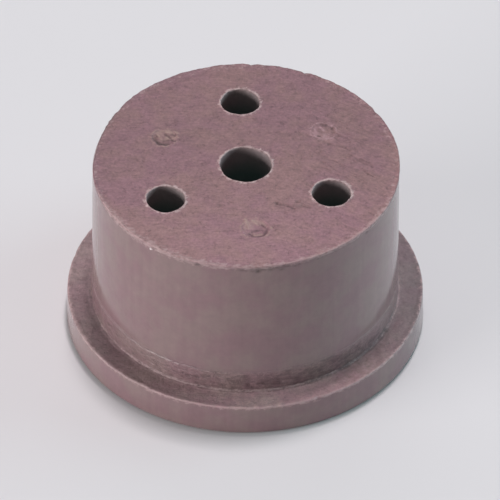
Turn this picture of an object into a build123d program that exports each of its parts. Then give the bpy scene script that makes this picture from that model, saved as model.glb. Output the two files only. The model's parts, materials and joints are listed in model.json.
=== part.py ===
from build123d import *
import os
from math import radians, tan

# A flanged rubber stopper, moulded in one piece. It stands on its flange with the plug upwards.
# The origin is the centre of the flange's underside. Lengths are in millimetres, angles in degrees.

# The moulded body, with draft on both walls
HEIGHT = 27.7
FLANGE_DIAMETER = 50.0
FLANGE_THICKNESS = 4.8
FLANGE_DRAFT = 1.2
PLUG_END_DIAMETER = 42.4
PLUG_DRAFT = 0.5

# The through holes that grip glass tubes: one on the axis, and a ring of them about it
CENTRE_HOLE_DIAMETER = 7.1
SIDE_HOLE_DIAMETER = 5.3
SIDE_HOLE_CIRCLE = 26.4
SIDE_HOLE_COUNT = 3
SIDE_HOLE_START = 90.0

# Shallow round cavity marks in the plug's end, one between each two side holes
MARK_DIAMETER = 3.6
MARK_CIRCLE = 26.0
MARK_DEPTH = 0.25
MARK_TAPER = 30.0
MARK_START = SIDE_HOLE_START + 180.0 / SIDE_HOLE_COUNT

# Edges, and the thin bead of flash left where the mould's halves met at the plug's foot
UNDERSIDE_EDGE_RADIUS = 0.5
FLANGE_EDGE_BREAK = 0.25
PLUG_END_EDGE_BREAK = 0.2
HOLE_EDGE_BREAK = 0.2
FLASH_RADIUS = 0.22

# What follows from the sizes above
FLANGE_RADIUS = FLANGE_DIAMETER / 2
FLANGE_TOP_RADIUS = FLANGE_RADIUS - FLANGE_THICKNESS * tan(radians(FLANGE_DRAFT))
PLUG_END_RADIUS = PLUG_END_DIAMETER / 2
PLUG_LENGTH = HEIGHT - FLANGE_THICKNESS
PLUG_FOOT_RADIUS = PLUG_END_RADIUS + PLUG_LENGTH * tan(radians(PLUG_DRAFT))


def corner_of(profile, corner):
    """The vertex of the half section nearest to a point given as (radius, height)."""
    return profile.vertices().sort_by_distance((corner[0], 0, corner[1]))[0]


def moulded_body():
    """Turn the half section of flange, plug and foot flash about the axis."""
    flange_bottom = (FLANGE_RADIUS, 0)
    flange_top = (FLANGE_TOP_RADIUS, FLANGE_THICKNESS)
    foot = (PLUG_FOOT_RADIUS, FLANGE_THICKNESS)
    plug_end = (PLUG_END_RADIUS, HEIGHT)
    outline = Polyline((0, 0), flange_bottom, flange_top, foot, plug_end, (0, HEIGHT), close=True)
    profile = Plane.XZ * make_face(outline)
    profile = fillet(corner_of(profile, flange_bottom), UNDERSIDE_EDGE_RADIUS)
    profile = chamfer(corner_of(profile, flange_top), FLANGE_EDGE_BREAK)
    profile = chamfer(corner_of(profile, plug_end), PLUG_END_EDGE_BREAK)
    profile += Plane.XZ * Pos(*foot) * Circle(FLASH_RADIUS)
    return revolve(profile, Axis.Z)


def core_pin(diameter):
    """The mould's pin that leaves one through hole."""
    return Cylinder(diameter / 2, HEIGHT, align=(Align.CENTER, Align.CENTER, Align.MIN))


def cored(body):
    """Core the through holes and break the sharp edges of their mouths."""
    side_places = PolarLocations(SIDE_HOLE_CIRCLE / 2, SIDE_HOLE_COUNT, SIDE_HOLE_START)
    body -= core_pin(CENTRE_HOLE_DIAMETER)
    body -= [place * core_pin(SIDE_HOLE_DIAMETER) for place in side_places]
    circles = body.edges().filter_by(GeomType.CIRCLE)
    mouths = circles.filter_by(lambda edge: edge.radius <= CENTRE_HOLE_DIAMETER / 2)
    return chamfer(mouths, HOLE_EDGE_BREAK)


def cavity_mark():
    """A shallow round sink with sloping sides, measured down from the plug's end."""
    rim_radius = MARK_DIAMETER / 2
    floor_radius = rim_radius - MARK_DEPTH * tan(radians(MARK_TAPER))
    sink = Cone(floor_radius, rim_radius, MARK_DEPTH, align=(Align.CENTER, Align.CENTER, Align.MAX))
    return Pos(0, 0, HEIGHT) * sink


def stopper():
    """The whole moulding: the cored body less its cavity marks."""
    mark_places = PolarLocations(MARK_CIRCLE / 2, SIDE_HOLE_COUNT, MARK_START)
    return cored(moulded_body()) - [place * cavity_mark() for place in mark_places]


os.makedirs("parts", exist_ok=True)
export_step(stopper(), "parts/stopper.step")
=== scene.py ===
import json
import math
from typing import NamedTuple

import bpy
import numpy as np
from mathutils import Matrix, Vector, noise
from mathutils.geometry import delaunay_2d_cdt


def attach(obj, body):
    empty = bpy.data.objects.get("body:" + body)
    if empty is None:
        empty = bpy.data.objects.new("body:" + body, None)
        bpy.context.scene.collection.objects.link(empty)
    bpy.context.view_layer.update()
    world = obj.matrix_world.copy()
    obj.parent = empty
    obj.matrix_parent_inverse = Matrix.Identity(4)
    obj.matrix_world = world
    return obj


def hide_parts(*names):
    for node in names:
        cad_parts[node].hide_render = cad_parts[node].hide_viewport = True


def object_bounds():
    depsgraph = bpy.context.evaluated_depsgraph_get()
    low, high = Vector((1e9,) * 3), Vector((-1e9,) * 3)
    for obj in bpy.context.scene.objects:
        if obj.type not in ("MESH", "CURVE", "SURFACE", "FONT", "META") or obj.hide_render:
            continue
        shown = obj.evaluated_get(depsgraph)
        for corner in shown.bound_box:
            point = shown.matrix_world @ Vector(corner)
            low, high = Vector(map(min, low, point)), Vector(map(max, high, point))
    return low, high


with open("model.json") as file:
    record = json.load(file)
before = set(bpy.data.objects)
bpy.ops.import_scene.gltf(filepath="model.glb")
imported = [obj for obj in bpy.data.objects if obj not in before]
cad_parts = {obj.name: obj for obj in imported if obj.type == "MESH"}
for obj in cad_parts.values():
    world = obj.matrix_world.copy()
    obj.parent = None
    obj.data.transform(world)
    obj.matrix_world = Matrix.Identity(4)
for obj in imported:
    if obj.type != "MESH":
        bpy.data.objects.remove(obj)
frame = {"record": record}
cad_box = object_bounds()

# A laboratory stopper of mauve-brown rubber, moulded in one piece and standing on its flange. One
# closed skin that has the wear of the photo takes the place of the plain solid, on the same body.
#
# Lengths are in millimetres until a mesh or lamp is made. Angles on the part are in degrees, seen
# from above: 0 is +X, 90 is +Y, where the back hole is, and 270 is the side towards the camera.
MM = 0.001
mounts = {m["name"]: m for m in frame["record"]["mounts"]}

# The moulding's sizes, from the frame
HEIGHT = cad_box[1].z / MM
FLANGE_RADIUS = cad_box[1].x / MM
FLANGE_TOP = mounts["flange_seat"]["pos_m"][2] / MM
PLUG_RADIUS = mounts["plug_wall"]["dims"]["r_mm"]
PLUG_MIDDLE = mounts["plug_wall"]["pos_m"][2] / MM
HOLES = [
    (m["pos_m"][0] / MM, m["pos_m"][1] / MM, m["dims"]["r_mm"])
    for m in mounts.values()
    if m["kind"] == "bore"
]

# What the frame doesn't give: the slopes of the drafted walls, and the sizes of the edges
PLUG_DRAFT = math.tan(math.radians(0.5))
FLANGE_DRAFT = math.tan(math.radians(1.2))
UNDERSIDE_EDGE = 0.5
EDGE_BREAK = 0.2
HOLE_FLARE = 0.1
FLASH_SIZE = 0.13

# The rough band round the plug's foot ends at a faint witness line
BAND_TOP = FLANGE_TOP + 3.2

# How finely the skin is divided: points round the moulding and round a hole, and the gaps between
# points of the end face, of its small features and of the underside
AROUND = 560
HOLE_AROUND = 96
COARSE_STEP = 0.30
FINE_STEP = 0.13
UNDERSIDE_STEP = 1.1

# How far below the end face each ring of a hole's skin lies
HOLE_DEPTHS = [0.0, 0.04, 0.1, 0.2, 0.4, 0.7, 1.1, 1.7, 2.5, 3.5, 5, 7, 10, 14, 18, 22, 25]


# Helpers for soft steps, angles and noise


def smooth(value, low, high):
    """0 below low, 1 above high, with a soft step between them."""
    t = np.clip((value - low) / (high - low), 0.0, 1.0)
    return t * t * (3 - 2 * t)


def peak(away, half_width):
    """1 where away is 0, falling to near 0 two half widths off."""
    return np.exp(-((away / half_width) ** 2))


def angle_from(centre, angles):
    """How far angles are from a centre, between -180 and 180."""
    return (angles - centre + 180.0) % 360.0 - 180.0


def bump(angles, centre, half_width):
    """A soft bump over the angle."""
    return peak(angle_from(centre, angles), half_width)


def bumps(angles, places):
    """The sum of soft bumps, each given as its centre, half width and size."""
    return sum(size * bump(angles, centre, half_width) for centre, half_width, size in places)


def within(angles, begin, full, fade, end):
    """1 between two angles, with soft ends."""
    return smooth(angles, begin, full) * (1 - smooth(angles, fade, end))


def levels(start, *stretches):
    """Values from start up through each stretch, given as its end and the step within it."""
    values = [start]
    for end, step in stretches:
        begin = values[-1]
        count = max(1, round((end - begin) / step))
        values.extend(begin + (end - begin) * (k + 1) / count for k in range(count))
    return np.array(values)


def compass(angles):
    """Points on the unit circle at angles, to read noise without a seam."""
    turn = np.radians(angles)
    return np.c_[np.cos(turn), np.sin(turn), np.zeros(len(angles))]


def grain(points, size, octaves=3, shift=0.0):
    """Noise at each point, about -1 to 1, with features of a size. Each use has its own shift."""
    offset = Vector((shift, 1.7 * shift, -0.6 * shift))
    return np.array([
        noise.fractal(Vector(p) / size + offset, 0.6, 2.0, octaves) for p in points
    ])


def plug_radius(height):
    """The plug wall's radius at a height."""
    return PLUG_RADIUS - (height - PLUG_MIDDLE) * PLUG_DRAFT


# Wear that the photo shows, placed on the part


class Pit(NamedTuple):
    """A hollow in the plug's wall. One with a negative depth stands out."""

    angle: float
    height: float
    half_length: float
    half_height: float
    depth: float


class Mark(NamedTuple):
    """A worn round mark of the mould, whose floor dips one way.

    Its scars are cut and its ridges left standing, as lines about the centre.
    """

    centre: tuple
    radius: float
    dip: float
    depth: float
    scars: list
    ridges: list


# Gouges in the end face: the points they run through, their half width and depth
GOUGES = [
    ([(3.7, -8.30), (5.1, -8.85), (6.1, -9.45)], 0.27, 0.17),
    ([(6.1, -9.45), (7.2, -9.10), (8.2, -9.40)], 0.25, 0.11),
    ([(6.5, -8.20), (6.75, -8.05)], 0.22, 0.14),
    ([(4.65, -10.2), (4.8, -10.3)], 0.20, 0.09),
    ([(9.6, 8.35), (13.1, 8.25)], 0.13, 0.06),
    ([(10.7, 10.8), (13.2, 8.6)], 0.12, 0.035),
    ([(16.1, 10.6), (17.0, 9.9)], 0.12, 0.05),
]
# No gouge or scratch reaches farther than this from its middle
GOUGE_REACH = 3.5

# Fields of fine scratches from grinding: how many, the box they start in, direction, and the least
# and greatest length and depth
SCRATCH_FIELDS = [
    (26, (8.5, -3.0, 17.0, 6.5), -38.0, (1.0, 3.4), (0.05, 0.10)),
    (16, (-15.0, -15.5, 3.0, -8.0), 0.0, (0.6, 2.2), (0.04, 0.07)),
    (12, (-17.0, -3.0, -6.0, 4.0), -12.0, (0.6, 1.8), (0.04, 0.07)),
    (10, (-5.0, 6.0, 7.0, 17.0), 20.0, (0.5, 1.6), (0.04, 0.07)),
]
SCRATCH_HALF_WIDTH = 0.09

MARKS = [
    Mark(
        centre=(-10.95, 6.25), radius=1.75, dip=238.0, depth=0.21,
        scars=[
            ((0.15, 0.70), (0.85, -0.05)),
            ((-0.15, -0.60), (0.55, -0.45)),
            ((1.15, 0.55), (1.5, 0.35)),
            ((1.0, -0.45), (1.4, -0.8)),
        ],
        ridges=[
            ((-0.95, 0.95), (-0.45, -0.25)),
            ((0.25, 1.15), (1.0, 0.85)),
            ((0.35, 0.15), (0.55, -0.15)),
        ],
    ),
    Mark(
        centre=(0.55, -13.35), radius=1.95, dip=308.0, depth=0.23,
        scars=[
            ((-0.55, -0.55), (0.45, -0.15)),
            ((0.95, 0.75), (1.35, 0.45)),
            ((-0.9, -0.9), (-0.55, -1.2)),
        ],
        ridges=[
            ((-1.3, 2.0), (-0.95, 0.1)),
            ((-0.35, 1.7), (0.35, 0.85)),
            ((-0.25, -1.2), (0.75, -1.0)),
        ],
    ),
    Mark(
        centre=(11.15, 6.35), radius=1.70, dip=60.0, depth=0.07,
        scars=[
            ((-0.80, -0.95), (-0.55, -1.05)),
            ((1.25, 0.75), (1.35, 0.45)),
        ],
        ridges=[
            ((-1.25, 0.6), (-0.9, -0.45)),
            ((-0.4, 0.95), (0.05, 0.15)),
            ((0.85, 1.25), (1.3, 1.0)),
            ((-1.35, -0.9), (-0.5, -1.65)),
            ((-0.2, -1.75), (1.1, -1.5)),
        ],
    ),
]

WALL_PITS = [
    Pit(248.6, 27.10, 0.50, 0.17, 0.14),
    Pit(271.3, 26.75, 0.34, 0.24, 0.15),
    Pit(318.0, 26.95, 0.45, 0.20, 0.10),
    Pit(225.0, 19.5, 0.30, 0.15, 0.07),
    Pit(208.5, 21.4, 0.22, 0.30, 0.07),
    Pit(284.0, 11.8, 0.35, 0.16, 0.06),
]

# A pale crumb that clings below the rim
CRUMB = Pit(228.9, 26.93, 0.24, 0.15, -0.16)

# Chips just under the rim: the stretch of angle that has them, and the gap between two of them
CHIPS_START = 262.0
CHIPS_END = 326.0
CHIP_GAP = 1.1

# Nicks that widen the bevel of the plug's rim and of the flange, and bulges that push the plug's
# lip out or draw it in: the angle, half width and size of each
RIM_NICKS = [(63.7, 1.3, 0.16), (28.0, 1.6, 0.12), (143.8, 2.0, 0.14), (84.6, 0.9, 0.14)]
FLANGE_NICKS = [(290.6, 1.0, 0.35), (262.0, 1.2, 0.20), (160.8, 1.3, 0.18), (232.0, 1.6, 0.15)]
LIP_BULGES = [
    (112.1, 1.5, 0.16), (96.0, 2.8, 0.12), (88.2, 1.8, 0.13), (84.6, 1.0, -0.12),
    (63.7, 1.6, -0.14), (28.0, 1.6, -0.10), (143.8, 2.0, -0.08),
]

# Stretches of angle for wear, painted highlights, painted shade and changes of shape and finish:
# where each begins, is full, starts to fade and ends
RIM_WORN = (182.0, 198.0, 330.0, 348.0)
RIM_TORN = (192.0, 210.0, 252.0, 266.0)
RIM_BROAD = (252.0, 266.0, 318.0, 340.0)
LIP_RAGGED = (20.0, 45.0, 160.0, 185.0)
LIP_DRAWN_IN = (136.0, 156.0, 166.0, 184.0)
FLASH_LIT = (200.0, 222.0, 275.0, 310.0)
LINE_CUT = (212.0, 222.0, 250.0, 268.0)
LINE_LIT = (212.0, 222.0, 246.0, 262.0)
BAND_DULL = (255.0, 272.0, 326.0, 342.0)
BAND_SHADED = (218.0, 300.0, 326.0, 342.0)


def scratch_fields():
    """The fine scratches of the end face, as gouges."""
    rng = np.random.default_rng(5)
    made = []
    for count, (x0, y0, x1, y1), direction, lengths, depths in SCRATCH_FIELDS:
        for _ in range(count):
            start = rng.uniform((x0, y0), (x1, y1))
            turn = math.radians(direction + rng.normal(0, 7))
            reach = rng.uniform(*lengths) * np.array([math.cos(turn), math.sin(turn)])
            sag = rng.uniform(-0.08, 0.12) * np.array([-reach[1], reach[0]])
            line = [start, start + reach / 2 + sag, start + reach]
            made.append((line, SCRATCH_HALF_WIDTH, rng.uniform(*depths)))
    return made


def rim_chips():
    """Small chips just under the front of the rim, as pits. They shrink towards the right."""
    rng = np.random.default_rng(23)
    made = []
    for angle in levels(CHIPS_START, (CHIPS_END, CHIP_GAP)):
        growth = 1 + 0.6 * bump(angle, 277.0, 9.0) - 0.45 * smooth(angle, 292.0, 318.0)
        made.append(Pit(
            angle=angle + rng.uniform(-0.9, 0.9),
            height=HEIGHT - 0.35 - growth * rng.uniform(0.06, 0.42),
            half_length=growth * rng.uniform(0.12, 0.36),
            half_height=growth * rng.uniform(0.07, 0.15),
            depth=growth * rng.uniform(0.02, 0.075),
        ))
    return made


ALL_GOUGES = GOUGES + scratch_fields()
ALL_PITS = WALL_PITS + rim_chips()


def distance_to_line(points, line):
    """Each flat point's distance to a run of straight pieces."""
    best = np.full(len(points), np.inf)
    for a, b in zip(line, line[1:]):
        a, b = np.array(a), np.array(b)
        along = np.clip((points - a) @ (b - a) / max((b - a) @ (b - a), 1e-12), 0, 1)
        best = np.minimum(best, np.linalg.norm(points - a - along[:, None] * (b - a), axis=1))
    return best


def mark_relief(flat):
    """Depth of the worn round marks, the shade painted in their crescents and scars, and how pale
    each point of them is.
    """
    depth, painted_hollow_shade, pale = np.zeros((3, len(flat)))
    for k, mark in enumerate(MARKS):
        local = flat - mark.centre
        away = np.linalg.norm(local, axis=1)
        place = np.c_[flat, np.full(len(flat), 5.0 * k)]
        uneven, fine = grain(place, 1.1, 2, 3.1), grain(place, 0.35, 2, 7.7)
        edge = mark.radius * (1 + 0.09 * uneven) + 0.07 * fine
        inside = 1 - smooth(away, edge - 0.28, edge)
        dip = math.radians(mark.dip)
        towards = (local @ np.array([math.cos(dip), math.sin(dip)])) / mark.radius
        sunk = mark.depth * (0.75 + 0.75 * towards) + 0.03 * uneven
        depth += inside * np.clip(sunk, 0.0, 0.3)
        ring = peak(away - edge - 0.12, 0.17) * smooth(fine + 0.5 * uneven, -0.3, 0.4)
        depth -= 0.035 * ring
        # Painted shadow: a dark crescent just inside each mark's edge, on the side where its floor
        # dips deepest
        crescent_shadow = peak(away - edge + 0.40, 0.26) * smooth(towards, 0.2, 0.65)
        painted_hollow_shade = np.maximum(painted_hollow_shade, crescent_shadow * min(mark.depth / 0.15, 1.0))
        pale = np.maximum(pale, 0.7 * ring)
        pale = np.maximum(pale, 0.55 * inside * smooth(uneven - towards, -0.3, 0.8))
        for line in mark.scars:
            stroke = peak(distance_to_line(local, line), 0.19) * (0.85 + 0.4 * fine)
            depth += 0.09 * stroke
            # Painted shade along the scar
            painted_hollow_shade = np.maximum(painted_hollow_shade, 0.8 * stroke)
            pale *= 1 - np.clip(stroke, 0, 1)
        for line in mark.ridges:
            stroke = peak(distance_to_line(local, line), 0.17) * (0.85 + 0.5 * fine)
            depth -= 0.035 * stroke
            pale = np.maximum(pale, 0.9 * stroke)
    return depth, painted_hollow_shade, np.clip(pale, 0, 1)


def end_relief(flat):
    """The ground end face: its depth below the highest level, the shade painted in its hollows,
    and where it is pale.
    """
    spread = np.c_[flat, np.zeros(len(flat))]
    combed = np.c_[flat[:, 0] * 0.3, flat[:, 1], np.zeros(len(flat))]
    depth = 0.07 + 0.022 * grain(spread, 1.9, 3) + 0.022 * grain(spread, 0.8, 3, 5.0)
    depth += 0.014 * grain(combed, 0.5, 2, 9.0)
    relief, painted_hollow_shade, pale = mark_relief(flat)
    depth += relief
    for line, half_width, gouge_depth in ALL_GOUGES:
        near = np.linalg.norm(flat - np.mean(line, axis=0), axis=1) < GOUGE_REACH
        away = distance_to_line(flat[near], line)
        uneven = 0.8 + 0.35 * grain(spread[near], 0.6, 2, 20.0)
        stroke = uneven * peak(away, half_width)
        depth[near] += gouge_depth * stroke
        depth[near] -= 0.1 * gouge_depth * peak(away - 2 * half_width, half_width)
        # Painted shade in each gouge and scratch, the darker the deeper it is
        painted_hollow_shade[near] = np.maximum(painted_hollow_shade[near], np.clip(gouge_depth / 0.24, 0, 1) * stroke)
    return np.maximum(depth, 0.0), painted_hollow_shade, pale


def pit_shape(angles, heights, pit):
    """A pit's soft spot on the wall, 1 at its middle."""
    across = np.radians(angle_from(pit.angle, angles)) * PLUG_RADIUS
    return peak(across, pit.half_length) * peak(heights - pit.height, pit.half_height)


def wall_relief(here, turn):
    """How far the plug's wall sinks in at its points, and the shade painted in its pits and its
    groove.
    """
    level = here[:, 2]
    hollow, pit_shade = np.zeros((2, len(here)))
    for pit in ALL_PITS:
        shape = pit_shape(turn, level, pit)
        hollow += pit.depth * shape
        # Painted shade in each pit and chip, the darker the deeper it is
        pit_shade = np.maximum(pit_shade, shape * min(pit.depth / 0.12, 1.0))
    hollow += CRUMB.depth * pit_shape(turn, level, CRUMB)
    band = 1 - smooth(level + 0.25 * grain(here, 0.9, 2, 50.0), BAND_TOP - 0.2, BAND_TOP + 0.2)
    lengthwise = here * [0.35, 0.35, 1.0]
    hollow += band * (0.035 * grain(lengthwise, 0.5, 3, 52.0) - 0.02)
    line = BAND_TOP + 0.10 * grain(compass(turn) * PLUG_RADIUS, 2.5, 3, 54.0)
    presence = 0.08 + 0.92 * within(turn, *LINE_CUT)
    presence = presence * (0.75 + 0.5 * grain(here, 1.6, 2, 58.0))
    groove = presence * peak(level - line, 0.10)
    hollow += 0.055 * groove
    hollow += 0.012 * grain(here, 6.0, 2, 40.0)
    frayed = within(turn, *RIM_TORN) * smooth(level, HEIGHT - 1.1, HEIGHT - 0.5)
    hollow += frayed * 0.06 * grain(here, 0.6, 3, 56.0)
    # The witness groove gets painted shade too
    return hollow, np.maximum(pit_shade, 0.4 * groove)


def weather_sides(points, radius, end):
    """Push the points of the wall and flange in and out, and say where shade is painted on the
    wall.
    """
    angle = np.degrees(np.arctan2(points[:, 1], points[:, 0])) % 360.0
    height = points[:, 2]
    outward = points[:, :2] / np.maximum(radius, 1e-9)[:, None]
    sunk, painted_hollow_shade = np.zeros((2, len(points)))

    near_wall = (radius > PLUG_RADIUS - 1.2) & (radius < PLUG_RADIUS + 1.0)
    wall = near_wall & (height > FLANGE_TOP + 0.3) & ~end
    sunk[wall], painted_hollow_shade[wall] = wall_relief(points[wall], angle[wall])

    flange = (radius > PLUG_RADIUS + 0.6) & (height > 0.6)
    sunk[flange] += 0.03 + 0.018 * grain(points[flange], 2.2, 3, 44.0)
    points[:, :2] -= outward * sunk[:, None]

    ledge = flange & (height > FLANGE_TOP - 0.03) & (radius < FLANGE_RADIUS - 0.6)
    points[ledge, 2] -= 0.05 + 0.04 * grain(points[ledge], 0.9, 3, 48.0)
    return painted_hollow_shade


# The skin


class Skin:
    """One closed skin under construction, as points in millimetres and faces."""

    def __init__(self):
        self.points = []
        self.faces = []

    def add(self, points):
        start = len(self.points)
        self.points.extend(tuple(float(x) for x in p) for p in points)
        return list(range(start, len(self.points)))

    def ring(self, angles, radius, height, centre=(0.0, 0.0)):
        """A closed ring of points; radius and height are numbers or one value for each angle."""
        a = np.radians(angles)
        radius = np.broadcast_to(radius, a.shape)
        height = np.broadcast_to(height, a.shape)
        return self.add(np.c_[
            centre[0] + radius * np.cos(a), centre[1] + radius * np.sin(a), height
        ])

    def bevel(self, angles, radius, height, size, steps):
        """Rings round the worn edge between a wall and the face above it."""
        return [
            self.ring(
                angles, radius - size * (1 - math.cos(turn)), height - size * (1 - math.sin(turn))
            )
            for turn in np.radians(np.linspace(0, 90, steps))[1:]
        ]

    def bridge(self, rings):
        """Quads between each ring and the next, facing out as the rings climb the outside."""
        for low, high in zip(rings, rings[1:]):
            for i in range(len(low)):
                j = (i + 1) % len(low)
                self.faces.append((low[i], low[j], high[j], high[i]))

    def fill(self, outlines, inner, facing_up):
        """Triangles over the flat area inside the first outline and outside the others."""
        members = [i for outline in outlines for i in outline] + inner
        place = {v: k for k, v in enumerate(members)}
        edges = [
            (place[o[i]], place[o[(i + 1) % len(o)]]) for o in outlines for i in range(len(o))
        ]
        flat = np.array(self.points)[members][:, :2]
        made = delaunay_2d_cdt([Vector(p) for p in flat], edges, [], 1, 1e-6)
        corners = np.array([[made[3][v][0] for v in face] for face in made[2]])
        middles = flat[corners].mean(axis=1)
        kept = np.ones(len(corners), bool)
        for outline in outlines[1:]:
            kept &= ~inside_outline(middles, np.array(self.points)[outline][:, :2])
        for face in corners[kept] if facing_up else corners[kept][:, ::-1]:
            self.faces.append(tuple(members[v] for v in face))


def inside_outline(flat, outline):
    """Whether each flat point lies inside a closed outline."""
    inside = np.zeros(len(flat), bool)
    for (x0, y0), (x1, y1) in zip(outline, np.roll(outline, -1, axis=0)):
        crosses = (y0 > flat[:, 1]) != (y1 > flat[:, 1])
        if y0 != y1:
            inside ^= crosses & (flat[:, 0] < x0 + (flat[:, 1] - y0) * (x1 - x0) / (y1 - y0))
    return inside


def rim_break(angles):
    """The width of the worn bevel round the plug's end."""
    around = compass(angles) * PLUG_RADIUS
    frayed = within(angles, *RIM_TORN)
    width = 0.16 + 0.20 * frayed + (0.07 + 0.14 * frayed) * grain(around, 1.1, 3, 4.0)
    return np.clip(width + bumps(angles, RIM_NICKS), 0.06, 0.7)


def rim_flare(angles):
    """How far the end's ragged lip stands out from the drafted wall, most of all at the right."""
    around = compass(angles) * PLUG_RADIUS
    ragged = 0.03 + 0.05 * within(angles, *LIP_RAGGED)
    flare = 0.045 * grain(around, 1.6, 3, 8.0) + ragged * grain(around, 0.6, 2, 9.0)
    flare -= 0.26 * within(angles, *LIP_DRAWN_IN)
    flare += 0.10 * np.cos(np.radians(angles) / 2) ** 8
    return flare + bumps(angles, LIP_BULGES)


def flange_break(angles):
    """The width of the worn break along the flange's upper edge."""
    width = 0.20 + 0.12 * grain(compass(angles) * FLANGE_RADIUS, 0.9, 3, 12.0)
    return np.clip(width + bumps(angles, FLANGE_NICKS), 0.06, 0.7)


def flash_size(angles):
    """The uneven size of the thin bead of flash round the plug's foot."""
    size = FLASH_SIZE * (0.9 + 0.45 * grain(compass(angles) * PLUG_RADIUS, 1.0, 3, 16.0))
    return np.clip(size, 0.04, 0.21)


def wall_rings(skin, angles):
    """The plug's wall, with its rough foot band, from the flash up to the bevel of the end."""
    flash, rim, flare = flash_size(angles), rim_break(angles), rim_flare(angles)
    start, end = FLANGE_TOP + FLASH_SIZE, HEIGHT - EDGE_BREAK
    rows = levels(
        start, (BAND_TOP - 0.25, 0.21), (BAND_TOP + 0.25, 0.07), (BAND_TOP + 1.2, 0.3),
        (HEIGHT - 1.9, 1.0), (end, 0.14),
    )
    rings = []
    for row in rows:
        height = row + (flash - FLASH_SIZE) * (1 - smooth(row, start, start + 1.0))
        height = height + (EDGE_BREAK - rim) * smooth(row, end - 1.0, end)
        lip = flare * smooth(height, HEIGHT - 1.0, end)
        rings.append(skin.ring(angles, plug_radius(height) + lip, height))
    return rings + skin.bevel(angles, plug_radius(HEIGHT) + flare, HEIGHT, rim, 5)


def flange_rings(skin, angles):
    """The flange: its rounded underside edge, its wall, its worn edge and its upper face."""
    edge = flange_break(angles)
    top_radius = FLANGE_RADIUS - (FLANGE_TOP - UNDERSIDE_EDGE) * FLANGE_DRAFT
    quarter = np.radians(np.linspace(0, 90, 6))
    rings = []
    for turn in quarter:
        radius = FLANGE_RADIUS - UNDERSIDE_EDGE * (1 - math.sin(turn))
        rings.append(skin.ring(angles, radius, UNDERSIDE_EDGE * (1 - math.cos(turn))))
    end = FLANGE_TOP - EDGE_BREAK
    for row in levels(UNDERSIDE_EDGE, (FLANGE_TOP - 1.1, 0.45), (end, 0.18))[1:]:
        height = row + (EDGE_BREAK - edge) * smooth(row, end - 0.9, end)
        radius = FLANGE_RADIUS - (height - UNDERSIDE_EDGE) * FLANGE_DRAFT
        rings.append(skin.ring(angles, radius, height))
    rings += skin.bevel(angles, top_radius, FLANGE_TOP, edge, 6)
    foot, flash = plug_radius(FLANGE_TOP), flash_size(angles)
    for share in np.linspace(0, 1, 14)[1:]:
        radius = (1 - share) * (top_radius - edge) + share * (foot + flash)
        rings.append(skin.ring(angles, radius, FLANGE_TOP))
    for turn in quarter[1:-1]:
        radius = foot + flash * math.cos(turn)
        rings.append(skin.ring(angles, radius, FLANGE_TOP + flash * math.sin(turn)))
    return rings


def hole_rings(skin, centre_x, centre_y, radius):
    """A through hole's skin, from its mouth in the end face down to the one underneath."""
    angles = np.arange(HOLE_AROUND) * 360.0 / HOLE_AROUND
    around = compass(angles) * radius + [centre_x, centre_y, 0]
    ragged = 0.10 * grain(around, 2.2, 2, 30.0) + 0.05 * grain(around, 0.6, 2, 33.0)
    rings = []
    for depth in HOLE_DEPTHS:
        flare = HOLE_FLARE * max(1 - depth / 0.8, 0) ** 1.5 + 0.05 * max(1 - depth / 0.08, 0)
        wave = 0.012 * grain(around + [0, 0, depth], 1.2, 2, 36.0)
        size = radius + flare + ragged * math.exp(-depth / 1.5) + wave
        rings.append(skin.ring(angles, size, HEIGHT - depth, (centre_x, centre_y)))
    for height, size in ((EDGE_BREAK, radius), (0.0, radius + EDGE_BREAK)):
        rings.append(skin.ring(angles, size, height, (centre_x, centre_y)))
    skin.bridge(rings)
    return rings[0], rings[-1]


def scattered(step, fine_step, keep_out, fine_near):
    """Flat points in a loose hexagonal pattern, closer together where fine_near says so."""
    rng = np.random.default_rng(11)
    reach = FLANGE_RADIUS + 1

    def pattern(gap):
        rows = np.arange(-reach, reach, gap * math.sqrt(3) / 2)
        across = np.arange(-reach, reach, gap)
        grid = np.array([
            (x + (gap / 2 if k % 2 else 0), y) for k, y in enumerate(rows) for x in across
        ])
        return grid + rng.uniform(-0.15, 0.15, grid.shape) * gap

    coarse = pattern(step)
    coarse = coarse[~keep_out(coarse, step * 0.45) & ~fine_near(coarse)]
    if fine_step is None:
        return coarse
    fine = pattern(fine_step)
    fine = fine[fine_near(fine)]
    fine = fine[~keep_out(fine, fine_step * 0.6)]
    return np.vstack([coarse, fine])


def outside_of(outer_radius):
    """A test for flat points that lie out of the rubber: past a radius or in a hole's mouth."""

    def keep_out(flat, margin):
        out = np.hypot(flat[:, 0], flat[:, 1]) > outer_radius - margin
        for x, y, radius in HOLES:
            out |= np.hypot(flat[:, 0] - x, flat[:, 1] - y) < radius + 0.32 + margin
        return out

    return keep_out


def near_detail(flat):
    """Where the end face has small features: the marks, the gouges and the rim."""
    near = np.hypot(flat[:, 0], flat[:, 1]) > PLUG_RADIUS - 0.8
    for mark in MARKS:
        near |= np.linalg.norm(flat - mark.centre, axis=1) < mark.radius + 0.35
    for line, half_width, _ in ALL_GOUGES:
        near |= distance_to_line(flat, line) < 2.2 * half_width
    return near


def nowhere(flat):
    return np.zeros(len(flat), bool)


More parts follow.
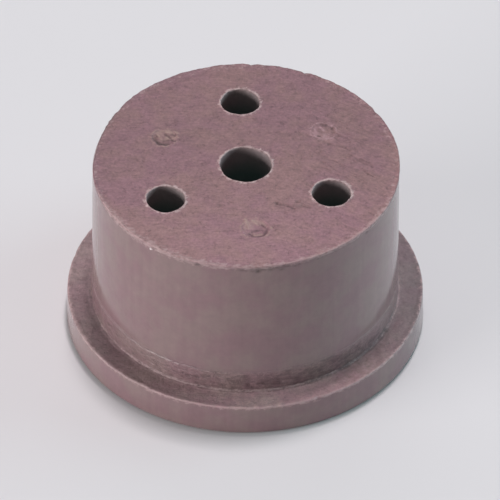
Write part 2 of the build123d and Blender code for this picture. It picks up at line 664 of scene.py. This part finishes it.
def hole_zones(points, end):
    """For the material: worn and frosted mouths, pale dust and painted light high in the holes,
    and painted shade deep in them.
    """
    made = {name: np.zeros(len(points)) for name in ("wear_and_highlight", "lip", "bore", "painted_hole_shade", "matte")}
    below = HEIGHT - points[:, 2]
    for x, y, hole_radius in HOLES:
        east, north = points[:, 0] - x, points[:, 1] - y
        away = np.hypot(east, north) - hole_radius
        mouth = np.hypot(np.maximum(away - 0.1, 0), below)
        outside = away > -0.1
        inside = (away < 0.3) & ~end
        around = np.degrees(np.arctan2(north, east)) % 360.0
        # Pale dust, laid thickest on the far right wall of each hole where the light falls, so it
        # is partly painted light
        dust_and_light_share = 0.2 + 0.8 * bump(around, 40.0, 75.0)
        here = {
            "wear_and_highlight": outside * (1 - smooth(mouth, 0.1, 0.6)),
            "lip": outside * (1 - smooth(mouth, 0.12, 0.42)),
            "bore": inside * dust_and_light_share * smooth(below, 0.1, 0.5),
            # Painted shade deep in each hole
            "painted_hole_shade": inside * smooth(below, 1.6, 5.0),
            "matte": inside,
        }
        for name, values in here.items():
            made[name] = np.maximum(made[name], values)
    return made


def zones(points, end):
    """For the material: what each point of the skin is like, from 0 to 1."""
    east, height = points[:, 0], points[:, 2]
    radius = np.hypot(east, points[:, 1])
    angle = np.degrees(np.arctan2(points[:, 1], east)) % 360.0
    side = (radius > PLUG_RADIUS - 1) & ~end
    on_wall = side & (radius < PLUG_RADIUS + 0.5)

    # Distances from the round edges and from the witness line
    rim = np.hypot(radius - plug_radius(HEIGHT), height - HEIGHT + 0.1)
    flange_edge = np.hypot(radius - FLANGE_RADIUS, height - FLANGE_TOP)
    foot = np.hypot(radius - plug_radius(FLANGE_TOP), height - FLANGE_TOP)
    line = np.abs(height - BAND_TOP + 0.2)

    reach = 0.5 + 0.8 * within(angle, *RIM_TORN) + 0.35 * within(angle, *RIM_BROAD)
    # Pale wear on the rim, the flange edge and the end face near the rim, and a painted highlight
    # along the flash at the foot and along the witness line
    wear_and_highlight = np.maximum.reduce([
        within(angle, *RIM_WORN) * (1 - smooth(rim, 0.05, reach)),
        0.85 * (1 - smooth(flange_edge, 0.1, 0.85)),
        (0.42 + 0.58 * within(angle, *FLASH_LIT)) * (1 - smooth(foot, 0.16, 0.30)),
        0.42 * (1 - smooth(rim, 0.3, 1.4)) * end,
        0.4 * on_wall * within(angle, *LINE_LIT) * (1 - smooth(line, 0.04, 0.2)),
    ])

    ledge = smooth(radius, PLUG_RADIUS + 0.25, PLUG_RADIUS + 0.5)
    ledge = ledge * smooth(height, FLANGE_TOP - 0.3, FLANGE_TOP - 0.1)
    band = on_wall * (1 - smooth(height, BAND_TOP - 0.3, BAND_TOP + 0.6))
    matte = np.maximum.reduce([
        end,
        (1 - smooth(rim, 0.3, 0.6)) * side,
        0.7 * ledge,
        band * (0.35 + 0.45 * within(angle, *BAND_DULL)),
        1 - smooth(foot, 0.2, 0.4),
    ])

    # Painted shade: the right end of the ledge, the flange wall below it and, more faintly, the
    # left end of the ledge are darkened
    painted_ledge_shade = np.maximum.reduce([
        ledge * smooth(east, 12.0, 24.0),
        0.6 * side * (height < FLANGE_TOP) * smooth(east, 17.0, 25.0),
        0.3 * ledge * smooth(-east, 15.0, 22.0),
    ])
    # Painted shade at the wall's foot, strongest at the front and right, with a top that drops
    # towards the right
    foot_shade_top = BAND_TOP - 0.3 - 2.6 * smooth(angle, 306.0, 338.0)
    painted_foot_shade = on_wall * (1 - smooth(height, foot_shade_top - 1.1, foot_shade_top + 1.2))

    made = {
        "wear_and_highlight": wear_and_highlight,
        "matte": matte,
        "ground": np.maximum(end, (1 - smooth(rim, 0.05, 0.3)) * side),
        "band": band,
        "ledge": ledge,
        "painted_ledge_shade": painted_ledge_shade,
        # Painted light: the front of the ledge is lightened where the plug's shadow falls on it
        "painted_ledge_light": ledge * bump(angle, 272.0, 32.0),
        "painted_foot_shade": painted_foot_shade * (0.32 + 0.68 * within(angle, *BAND_SHADED)),
        "crumb": on_wall * smooth(pit_shape(angle, height, CRUMB), 0.25, 0.6),
    }
    for name, values in hole_zones(points, end).items():
        made[name] = np.maximum(made.get(name, 0.0), values)
    return made


def stopper_mesh():
    """The whole moulding as one closed mesh, with its wear."""
    skin = Skin()
    angles = np.arange(AROUND) * 360.0 / AROUND
    rings = flange_rings(skin, angles) + wall_rings(skin, angles)
    skin.bridge(rings)
    bottom, top = rings[0], rings[-1]
    mouths = [hole_rings(skin, *hole) for hole in HOLES]

    top_limit = min(math.hypot(*skin.points[i][:2]) for i in top)
    face = scattered(COARSE_STEP, FINE_STEP, outside_of(top_limit), near_detail)
    inner = skin.add(np.c_[face, np.full(len(face), HEIGHT)])
    skin.fill([top] + [m[0] for m in mouths], inner, True)
    end_points = top + inner + [i for m in mouths for i in m[0]]

    under = scattered(UNDERSIDE_STEP, None, outside_of(FLANGE_RADIUS - UNDERSIDE_EDGE), nowhere)
    inner = skin.add(np.c_[under, np.zeros(len(under))])
    skin.fill([bottom] + [m[1] for m in mouths], inner, False)

    points = np.array(skin.points)
    end = np.zeros(len(points), bool)
    end[end_points] = True
    radius = np.hypot(points[:, 0], points[:, 1])
    painted_hollow_shade = weather_sides(points, radius, end)
    pale = np.zeros(len(points))
    relief, painted_hollow_shade[end], pale[end] = end_relief(points[end, :2])
    points[end, 2] -= relief

    mesh = bpy.data.meshes.new("stopper_moulding")
    mesh.from_pydata((points * MM).tolist(), [], skin.faces)
    mesh.shade_smooth()
    for name, values in {**zones(points, end), "painted_hollow_shade": painted_hollow_shade, "pale": pale}.items():
        layer = mesh.attributes.new(name, "FLOAT", "POINT")
        layer.data.foreach_set("value", np.asarray(values, np.float32))
    return mesh


# Materials. The rubber reads these zones of the skin, which the mesh carries as attributes.

ZONES = (
    "wear_and_highlight", "matte", "ground", "band", "ledge", "painted_ledge_shade", "painted_ledge_light", "painted_foot_shade", "crumb", "lip", "bore",
    "painted_hole_shade", "painted_hollow_shade", "pale",
)

# Colours, as linear red, green and blue. A pair is mixed from place to place.
BODY = (0.221, 0.135, 0.145), (0.227, 0.155, 0.153)
FACE = (0.231, 0.1225, 0.1415), (0.239, 0.135, 0.1365)
BRUISE = (0.40, 0.28, 0.235), (0.44, 0.27, 0.30)
# Pale dust in the holes, which also stands for light falling on their far right walls
HOLE_DUST_AND_LIGHT = (0.285, 0.225, 0.230), (0.265, 0.215, 0.215)
# Pale scuffs on worn edges, also the painted highlights on the flash and the witness line
SCUFF_AND_HIGHLIGHT = (0.430, 0.300, 0.300)
FROST = (0.56, 0.43, 0.42)
# The painted shade deep in the holes
HOLE_SHADE_COLOUR = (0.100, 0.150, 0.140)
PALE_CRUMB = (0.78, 0.68, 0.68)
# A bluish painted shade for the ends of the ledge and the flange wall at the right
LEDGE_SHADE_TINT = (0.51, 0.57, 0.60)
# The tint of the painted shade at the wall's foot
FOOT_SHADE_TINT = (0.48, 0.45, 0.45)
FLOOR_COLOUR = (0.698, 0.686, 0.700)

RUBBER_IOR = 1.5
MATTE_ROUGHNESS = 0.65
FLOOR_ROUGHNESS = 0.9
FLOOR_SPECULAR = 0.1

# The height of relief that is too fine for the mesh
FINE_RELIEF = 0.065


class Nodes:
    """A material with short helpers to build its node tree."""

    def __init__(self, name):
        self.material = bpy.data.materials.new(name)
        self.material.use_nodes = True
        self.tree = self.material.node_tree
        self.tree.nodes.clear()
        self.shader = self.node("ShaderNodeBsdfPrincipled")
        output = self.node("ShaderNodeOutputMaterial")
        self.link(self.shader.outputs["BSDF"], output.inputs["Surface"])

    def node(self, kind, **settings):
        made = self.tree.nodes.new(kind)
        for name, value in settings.items():
            setattr(made, name, value)
        return made

    def link(self, source, target):
        self.tree.links.new(source, target)

    def feed(self, socket, value):
        """Give a socket a number, a colour or another node's output."""
        if isinstance(value, (int, float)):
            socket.default_value = value
        elif isinstance(value, tuple):
            socket.default_value = (*value, 1.0)
        else:
            self.link(value, socket)

    def attribute(self, name):
        return self.node("ShaderNodeAttribute", attribute_name=name).outputs["Fac"]

    def place(self, stretch=(1, 1, 1), turn=0.0):
        """The place on the part in millimetres, along axes that are turned and then stretched."""
        mapping = self.node("ShaderNodeMapping", vector_type="TEXTURE")
        self.link(self.node("ShaderNodeTexCoord").outputs["Object"], mapping.inputs["Vector"])
        mapping.inputs["Rotation"].default_value = (0, 0, math.radians(turn))
        mapping.inputs["Scale"].default_value = [s * MM for s in stretch]
        return mapping.outputs["Vector"]

    def noise(self, size, detail=3.0, roughness=0.55, stretch=(1, 1, 1), turn=0.0):
        made = self.node("ShaderNodeTexNoise")
        self.link(self.place(stretch, turn), made.inputs["Vector"])
        made.inputs["Scale"].default_value = 1 / size
        made.inputs["Detail"].default_value = detail
        made.inputs["Roughness"].default_value = roughness
        return made.outputs["Fac"]

    def math(self, operation, first, second=0.0, third=0.0):
        made = self.node("ShaderNodeMath", operation=operation)
        for socket, value in zip(made.inputs, (first, second, third)):
            self.feed(socket, value)
        return made.outputs[0]

    def add(self, first, second):
        return self.math("ADD", first, second)

    def less(self, first, second):
        return self.math("SUBTRACT", first, second)

    def times(self, first, second):
        return self.math("MULTIPLY", first, second)

    def most(self, first, second):
        return self.math("MAXIMUM", first, second)

    def remap(self, value, low, high, to_low=0.0, to_high=1.0):
        made = self.node("ShaderNodeMapRange", clamp=True)
        self.link(value, made.inputs["Value"])
        made.inputs["From Min"].default_value = low
        made.inputs["From Max"].default_value = high
        made.inputs["To Min"].default_value = to_low
        made.inputs["To Max"].default_value = to_high
        return made.outputs["Result"]

    def mix(self, share, first, second, blend="MIX"):
        made = self.node("ShaderNodeMix", data_type="RGBA", blend_type=blend)
        for name, value in (("Factor", share), ("A", first), ("B", second)):
            self.feed(made.inputs[name], value)
        return made.outputs["Result"]

    def blend(self, share, first, second):
        """Two plain values mixed by a third."""
        return self.math("MULTIPLY_ADD", share, self.less(second, first), first)

    def tone(self, colour, factor):
        """A colour made lighter or darker by a factor."""
        made = self.node("ShaderNodeVectorMath", operation="SCALE")
        self.link(colour, made.inputs[0])
        self.link(factor, made.inputs["Scale"])
        return made.outputs["Vector"]

    def shade(self, colour, value, low, high, to_low, to_high):
        """A colour whose tone follows a value."""
        return self.tone(colour, self.remap(value, low, high, to_low, to_high))

    def broken(self, zone, noise, strength, share, solid, faint=(0.0, 0.2)):
        """A zone whose border noise breaks up, and which fades out where the zone is faint."""
        swing = self.less(noise, 0.5)
        shape = self.math("MULTIPLY_ADD", swing, strength, self.times(zone, share))
        return self.times(self.remap(shape, *solid), self.remap(zone, *faint))


class Rubber(Nodes):
    """Mauve-brown moulded rubber: smooth drafted walls, a ground end face, scuffed edges, and
    light and shade painted into its colour in places.
    """

    def __init__(self):
        super().__init__("mauve_rubber")
        self.zone = {name: self.attribute(name) for name in ZONES}
        self.coarse = self.most(self.zone["band"], self.zone["ledge"])
        split = self.node("ShaderNodeSeparateXYZ")
        self.link(self.place(), split.inputs["Vector"])
        self.x, self.y = split.outputs["X"], split.outputs["Y"]

        # Noise that several parts of the look share
        self.grit = self.noise(0.42, 4.0, 0.65)
        combed = self.noise(0.28, 3.0, 0.6, (6, 1, 1))
        slanted = self.noise(0.28, 3.0, 0.6, (6, 1, 1), -38.0)
        self.streaks = self.blend(self.remap(self.x, 3.0, 12.0), combed, slanted)
        self.specks = self.remap(self.noise(0.7, 4.0, 0.7), 0.57, 0.67)
        self.flecks = self.remap(self.noise(0.5, 4.0, 0.7, (1.5, 1, 1), 30.0), 0.58, 0.68)
        self.patches = self.remap(self.noise(5.0, 3.0), 0.40, 0.60)
        self.wisps = self.noise(0.45, 4.0, 0.7, (1.6, 1.3, 0.8), 20.0)
        self.drawn = self.noise(0.7, 2.0, 0.5, (1, 1, 20))
        self.lengthwise = self.noise(0.35, 4.0, 0.65, (3, 3, 1))

        self.shader.inputs["IOR"].default_value = RUBBER_IOR
        self.link(self.colour(), self.shader.inputs["Base Color"])
        self.link(self.roughness(), self.shader.inputs["Roughness"])
        self.link(self.normal(), self.shader.inputs["Normal"])

    def moulded(self):
        """The colour of the walls and ledge, with the rough band, painted shade at the foot and at
        the ledge's ends, and painted light on the ledge's front.
        """
        colour = self.mix(self.patches, *BODY)
        mottle = self.noise(1.3, 4.0, 0.6)
        mottle = self.add(self.times(mottle, 0.6), self.times(self.drawn, 0.4))
        colour = self.shade(colour, mottle, 0.3, 0.7, 0.93, 1.07)
        rough = self.add(
            self.remap(self.grit, 0.3, 0.7, 0.35, 0.70),
            self.remap(self.lengthwise, 0.3, 0.7, 0.35, 0.70),
        )
        rough = self.less(rough, self.times(self.specks, 0.2))
        rough = self.add(rough, self.times(self.flecks, 0.18))
        plain = self.remap(self.grit, 0.3, 0.7, 0.975, 1.025)
        colour = self.tone(colour, self.blend(self.coarse, plain, rough))
        colour = self.shade(colour, self.zone["ledge"], 0.0, 1.0, 1.0, 1.22)
        # Painted light on the front of the ledge, where the plug's shadow falls
        colour = self.shade(colour, self.zone["painted_ledge_light"], 0.0, 1.0, 1.0, 1.72)
        # Painted shade at the ends of the ledge and on the flange wall at the right
        colour = self.mix(self.zone["painted_ledge_shade"], colour, LEDGE_SHADE_TINT, "MULTIPLY")
        # Painted shade at the wall's foot, with a ragged top
        shade_edge_noise = self.noise(0.55, 5.0, 0.7, (2.5, 2.5, 1))
        foot_shade_mask = self.broken(self.zone["painted_foot_shade"], shade_edge_noise, 4.5, 1.0, (0.15, 1.6), (0.03, 0.4))
        return self.mix(foot_shade_mask, colour, FOOT_SHADE_TINT, "MULTIPLY")

    def ground(self):
        """The colour of the end face: grit, combed streaks, scoured stretches and pale scuffs."""
        colour = self.mix(self.patches, *FACE)
        # Painted light: the end face is lighter towards the front and darker towards the back
        colour = self.shade(colour, self.y, -17.0, 4.0, 1.13, 0.92)
        colour = self.shade(colour, self.noise(1.5, 4.0, 0.65), 0.35, 0.65, 0.93, 1.07)
        colour = self.shade(colour, self.grit, 0.3, 0.7, 0.81, 1.19)
        colour = self.shade(colour, self.streaks, 0.3, 0.7, 0.90, 1.10)
        scoured = self.remap(self.noise(0.5, 4.0, 0.65, (3.2, 1, 1), -32.0), 0.50, 0.64)
        scoured = self.times(scoured, self.remap(self.x, -2.0, 9.0, 0.06, 0.17))
        colour = self.tone(colour, self.less(1.035, scoured))
        colour = self.shade(colour, self.specks, 0.0, 1.0, 1.0, 0.76)
        colour = self.shade(colour, self.flecks, 0.0, 1.0, 1.0, 1.14)
        bruise = self.mix(self.remap(self.x, 4.0, 9.0), *BRUISE)
        return self.mix(self.times(self.zone["pale"], 0.8), colour, bruise)

    def colour(self):
        """The whole skin's colour: dust and painted light in the holes, painted shade deep in them
        and in hollows, scuffs and painted highlights, and frosted lips.
        """
        zone = self.zone
        colour = self.mix(zone["ground"], self.moulded(), self.ground())
        # Pale dust in the holes, partly painted light on their far right walls
        dust_and_light = self.shade(self.mix(self.patches, *HOLE_DUST_AND_LIGHT), self.grit, 0.3, 0.7, 0.9, 1.1)
        colour = self.mix(zone["bore"], colour, dust_and_light)
        # Scuffs on worn edges, and painted highlights on the flash and the witness line
        scuffs_and_highlights = self.broken(zone["wear_and_highlight"], self.wisps, 3.4, 0.85, (0.35, 0.95))
        colour = self.mix(self.times(scuffs_and_highlights, 0.7), colour, SCUFF_AND_HIGHLIGHT)
        frosted = self.broken(zone["lip"], self.wisps, 4.0, 0.9, (0.35, 1.3))
        colour = self.mix(self.times(frosted, 0.75), colour, FROST)
        # Painted shade in pits, chips, gouges, scars, the marks' crescents and the witness groove
        colour = self.shade(colour, zone["painted_hollow_shade"], 0.0, 1.0, 1.0, 0.36)
        # Painted shade deep in the holes
        colour = self.mix(zone["painted_hole_shade"], colour, HOLE_SHADE_COLOUR)
        return self.mix(zone["crumb"], colour, PALE_CRUMB)

    def roughness(self):
        """Glossy walls, uneven along the draw of the mould, and matte ground faces."""
        glossy = self.remap(self.drawn, 0.3, 0.7, 0.11, 0.19)
        return self.blend(self.zone["matte"], glossy, MATTE_ROUGHNESS)

    def normal(self):
        """Relief that is too fine for the mesh: grit where it is rough, and drawn walls."""
        fine = self.noise(0.15, 3.0, 0.6)
        grit = self.add(self.times(self.grit, 1.3), self.add(self.times(fine, 0.4), self.streaks))
        grit = self.add(grit, self.times(self.less(self.flecks, self.specks), 0.6))
        amount = self.most(self.zone["ground"], self.times(self.coarse, 0.8))
        grit = self.times(grit, self.most(amount, 0.03))
        ridges = self.times(self.lengthwise, self.zone["band"])
        ridges = self.add(ridges, self.times(self.drawn, 0.12))
        relief = self.node("ShaderNodeBump")
        relief.inputs["Strength"].default_value = 1.0
        relief.inputs["Distance"].default_value = FINE_RELIEF * MM
        self.link(self.add(grit, ridges), relief.inputs["Height"])
        return relief.outputs["Normal"]


def floor_material():
    """A plain, pale, matt floor."""
    n = Nodes("pale_floor")
    n.feed(n.shader.inputs["Base Color"], FLOOR_COLOUR)
    n.feed(n.shader.inputs["Roughness"], FLOOR_ROUGHNESS)
    n.feed(n.shader.inputs["Specular IOR Level"], FLOOR_SPECULAR)
    return n.material


# Soft lamps round the part: name, azimuth and elevation of the lamp as seen from the part, width
# and height in metres, the light that it gives as a share of full, and its colour
LAMPS = [
    ("softbox_left", 205.0, 10.0, (0.9, 0.35), 0.925, (1.0, 0.97, 0.97)),
    ("softbox_right", 8.0, 10.0, (0.9, 0.35), 0.715, (0.68, 0.94, 1.0)),
    ("softbox_above", 0.0, 89.0, (1.4, 1.4), 0.22, (1.0, 0.96, 0.98)),
    ("lamp_above", 68.0, 79.0, (0.17, 0.17), 0.54, (1.0, 0.93, 0.95)),
    ("strip_behind", 90.0, 40.0, (0.7, 0.4), 0.11, (1.0, 0.95, 1.0)),
]
LAMP_DISTANCE = 1.2
# The watts that bring a white surface, one metre away and facing the lamp, to full white
FULL_LIGHT = math.pi**2
# The light that the room itself gives, and the tone in which it is seen and mirrored
WORLD_LIGHT = (0.05, 0.08, 0.08)
WORLD_SEEN = (0.50, 0.50, 0.51)
# Half the floor's width, in metres
FLOOR_HALF = 3.0


def direction(azimuth, elevation):
    """The unit vector from the part towards an azimuth and elevation."""
    turn, lift = math.radians(azimuth), math.radians(elevation)
    return Vector((
        math.cos(turn) * math.cos(lift), math.sin(turn) * math.cos(lift), math.sin(lift)
    ))


def lamp(name, azimuth, elevation, size, share, colour):
    """A soft lamp facing the part."""
    towards = direction(azimuth, elevation)
    data = bpy.data.lights.new(name, "AREA")
    data.shape = "RECTANGLE"
    data.size, data.size_y = size
    data.energy = share * FULL_LIGHT * LAMP_DISTANCE**2
    data.color = colour
    made = bpy.data.objects.new(name, data)
    made.location = towards * LAMP_DISTANCE
    made.rotation_euler = towards.to_track_quat("Z", "Y").to_euler()
    made.visible_camera = False
    bpy.context.scene.collection.objects.link(made)


def room():
    """The dim room's light, which the camera and mirrors see as a pale backdrop."""
    world = bpy.data.worlds.new("room")
    world.use_nodes = True
    tree = world.node_tree
    background = tree.nodes["Background"]
    mix = tree.nodes.new("ShaderNodeMix")
    mix.data_type = "RGBA"
    mix.inputs["A"].default_value = (*WORLD_LIGHT, 1.0)
    mix.inputs["B"].default_value = (*WORLD_SEEN, 1.0)
    path = tree.nodes.new("ShaderNodeLightPath").outputs
    seen = path["Is Camera Ray"]
    for kind in ("Is Glossy Ray", "Is Transmission Ray"):
        either = tree.nodes.new("ShaderNodeMath")
        either.operation = "MAXIMUM"
        tree.links.new(seen, either.inputs[0])
        tree.links.new(path[kind], either.inputs[1])
        seen = either.outputs[0]
    tree.links.new(seen, mix.inputs["Factor"])
    tree.links.new(mix.outputs["Result"], background.inputs["Color"])
    bpy.context.scene.world = world


def studio():
    """A pale floor, soft light from the left, right and above, and a dim room."""
    corners = [(-1, -1), (1, -1), (1, 1), (-1, 1)]
    mesh = bpy.data.meshes.new("floor")
    mesh.from_pydata([(x * FLOOR_HALF, y * FLOOR_HALF, 0) for x, y in corners], [], [(0, 1, 2, 3)])
    floor = bpy.data.objects.new("floor", mesh)
    floor.data.materials.append(floor_material())
    bpy.context.scene.collection.objects.link(floor)

    room()
    for settings in LAMPS:
        lamp(*settings)


# The camera, at the photo's angle. Its distance and aim are in radii of the plug's end.
CAMERA_AZIMUTH = 266.4
CAMERA_ELEVATION = 41.97
CAMERA_ROLL = 0.353
CAMERA_DISTANCE = 57.1
LOOK_RIGHT = 0.0305
LOOK_UP = 0.5518
PIXELS_PER_RADIUS = 152.1
PHOTO_SIZE = 500
SENSOR = 36.0


def camera():
    """A long lens, aimed a little below the middle of the part's height."""
    unit = plug_radius(HEIGHT) * MM
    back = direction(CAMERA_AZIMUTH, CAMERA_ELEVATION)
    right = direction(CAMERA_AZIMUTH + 90.0, 0.0)
    target = (right * LOOK_RIGHT + Vector((0, 0, LOOK_UP))) * unit
    data = bpy.data.cameras.new("camera")
    data.sensor_width = SENSOR
    data.lens = PIXELS_PER_RADIUS * CAMERA_DISTANCE / PHOTO_SIZE * SENSOR
    data.clip_start, data.clip_end = 0.05, 20.0
    made = bpy.data.objects.new("camera", data)
    made.location = target + back * CAMERA_DISTANCE * unit
    roll = Matrix.Rotation(math.radians(CAMERA_ROLL), 4, "Z").to_quaternion()
    made.rotation_mode = "QUATERNION"
    made.rotation_quaternion = (-back).to_track_quat("-Z", "Y") @ roll
    bpy.context.scene.collection.objects.link(made)
    bpy.context.scene.camera = made


stopper = bpy.data.objects.new("rubber_moulding", stopper_mesh())
bpy.context.scene.collection.objects.link(stopper)
stopper.data.materials.append(Rubber().material)
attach(stopper, "root")
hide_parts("stopper")

studio()
camera()
bpy.context.scene.view_settings.view_transform = "Standard"
